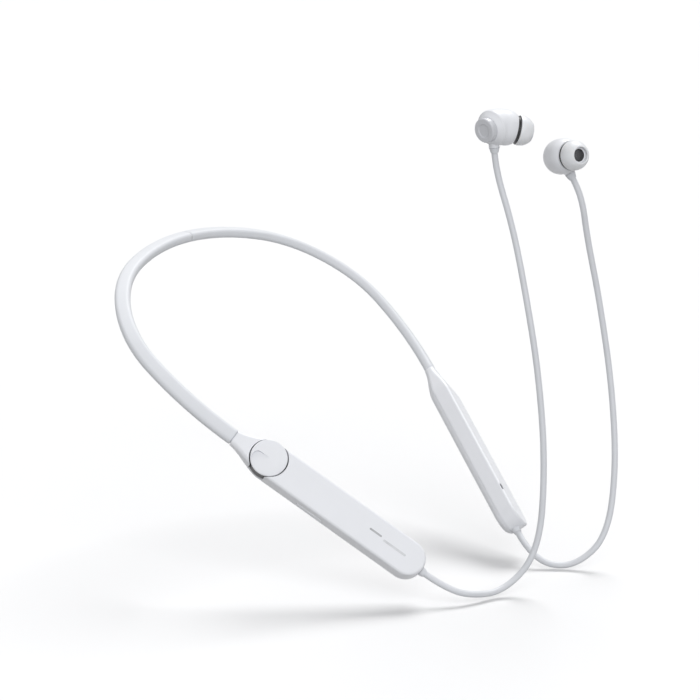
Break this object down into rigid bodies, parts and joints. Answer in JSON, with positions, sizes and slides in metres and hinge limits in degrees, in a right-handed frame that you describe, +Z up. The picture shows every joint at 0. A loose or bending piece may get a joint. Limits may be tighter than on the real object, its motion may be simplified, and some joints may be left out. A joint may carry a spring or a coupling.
{
  "type": "neckband earphones",
  "caption": "Wireless neckband earphones: a springy silicone collar with a slim pod at each end, a finger dial on one pod, and an in-ear earbud on a short cord from each.",
  "frame": {"origin": "the middle of the collar's inner side, where it rests on the nape of the neck", "axes": "+Z is up, the wearer faces -Y, and the wearer's left is +X; the collar and pods slope down towards -Y"},
  "size_m": [0.1444, 0.176, 0.1755],
  "materials": {
    "white_silicone": "soft satin silicone, very light cool grey-white",
    "white_plastic": "fine matte, very light cool white",
    "cord_jacket": "smooth satin elastomer jacket",
    "tip_silicone": "slightly translucent white silicone",
    "cap_grey": "pale grey, fine satin",
    "black_plastic": "satin black",
    "mesh_dark": "dark woven acoustic mesh",
    "spring_steel": "bright drawn wire",
    "contact_steel": "plated, smooth",
    "copper": "enamelled copper",
    "magnet_plate": "nickel plated",
    "board_green": "solder mask",
    "chip_black": "moulded epoxy",
    "battery_foil": "laminated foil pouch",
    "film_amber": "thin polymer film",
    "light_pipe": "clear-white light guide"
  },
  "bodies": {
    "collar": {"band_sleeve_centre": "white_silicone", "spring_wire_centre": "spring_steel", "band_leads_centre": "copper"},
    "right_arm": {"band_sleeve_right": "white_silicone", "spring_wire_right": "spring_steel", "band_leads_right": "copper", "right_pod_cover": "white_plastic", "right_pod_base": "white_plastic", "main_board": "board_green", "board_screws": "contact_steel", "radio_module": "contact_steel", "chip_antenna": "light_pipe", "power_switch": "chip_black", "usb_socket": "contact_steel", "status_light_pipe": "light_pipe", "dial_encoder": "chip_black", "dial_snap_dome": "spring_steel", "right_pod_relief": "white_silicone", "right_cord": "cord_jacket", "right_rear_cap": "cap_grey", "right_rear_housing": "white_plastic", "right_front_shell": "white_plastic", "right_vent_ring": "black_plastic", "right_snap_magnet": "magnet_plate", "right_driver_frame": "contact_steel", "right_driver_yoke": "contact_steel", "right_driver_magnet": "magnet_plate", "right_voice_coil": "copper", "right_diaphragm": "film_amber", "right_nozzle_mesh": "mesh_dark", "right_bud_relief": "white_silicone"},
    "left_arm": {"band_sleeve_left": "white_silicone", "spring_wire_left": "spring_steel", "band_leads_left": "copper", "left_pod_cover": "white_plastic", "left_pod_base": "white_plastic", "battery_cell": "battery_foil", "protection_board": "board_green", "microphone": "contact_steel", "microphone_mesh": "mesh_dark", "left_pod_relief": "white_silicone", "left_cord": "cord_jacket", "left_rear_cap": "cap_grey", "left_rear_housing": "white_plastic", "left_front_shell": "white_plastic", "left_vent_ring": "black_plastic", "left_snap_magnet": "magnet_plate", "left_driver_frame": "contact_steel", "left_driver_yoke": "contact_steel", "left_driver_magnet": "magnet_plate", "left_voice_coil": "copper", "left_diaphragm": "film_amber", "left_nozzle_mesh": "mesh_dark", "left_bud_relief": "white_silicone"},
    "dial_press": {"dial_hub": "black_plastic"},
    "dial": {"dial_ring": "black_plastic", "dial_cap": "white_plastic"},
    "power_key": {"power_button": "white_plastic"},
    "right_tip": {"right_ear_tip": "tip_silicone"},
    "left_tip": {"left_ear_tip": "tip_silicone"}
  },
  "joints": [
    {"name": "right_arm_flex", "type": "hinge", "parent": "collar", "child": "right_arm", "pos_m": [-0.05516, -0.0138, -0.0101], "axis": [0, 0.5906, -0.807], "range_deg": [-3, 9], "stiffness_Nm_per_rad": 0.8},
    {"name": "left_arm_flex", "type": "hinge", "parent": "collar", "child": "left_arm", "pos_m": [0.05516, -0.0138, -0.0101], "axis": [0, -0.5906, 0.807], "range_deg": [-3, 9], "stiffness_Nm_per_rad": 0.8},
    {"name": "dial_click", "type": "slide", "parent": "right_arm", "child": "dial_press", "axis": [0.4944, 0.6548, -0.5717], "range_m": [0, 0.0004], "stiffness_N_per_m": 600, "springref_m": -0.0004},
    {"name": "dial_turn", "type": "hinge", "parent": "dial_press", "child": "dial", "pos_m": [-0.05677, -0.08642, -0.06115], "axis": [-0.4944, -0.6548, 0.5717], "continuous": true},
    {"name": "power_key_press", "type": "slide", "parent": "right_arm", "child": "power_key", "axis": [0.7912, -0.0666, 0.6079], "range_m": [0, 0.0003], "stiffness_N_per_m": 900, "springref_m": -0.0003},
    {"name": "right_tip_pull", "type": "slide", "parent": "right_arm", "child": "right_tip", "axis": [0.745, -0.6299, -0.2194], "range_m": [0, 0.007]},
    {"name": "left_tip_pull", "type": "slide", "parent": "left_arm", "child": "left_tip", "axis": [-0.3534, -0.9178, 0.1808], "range_m": [0, 0.007]}
  ]
}
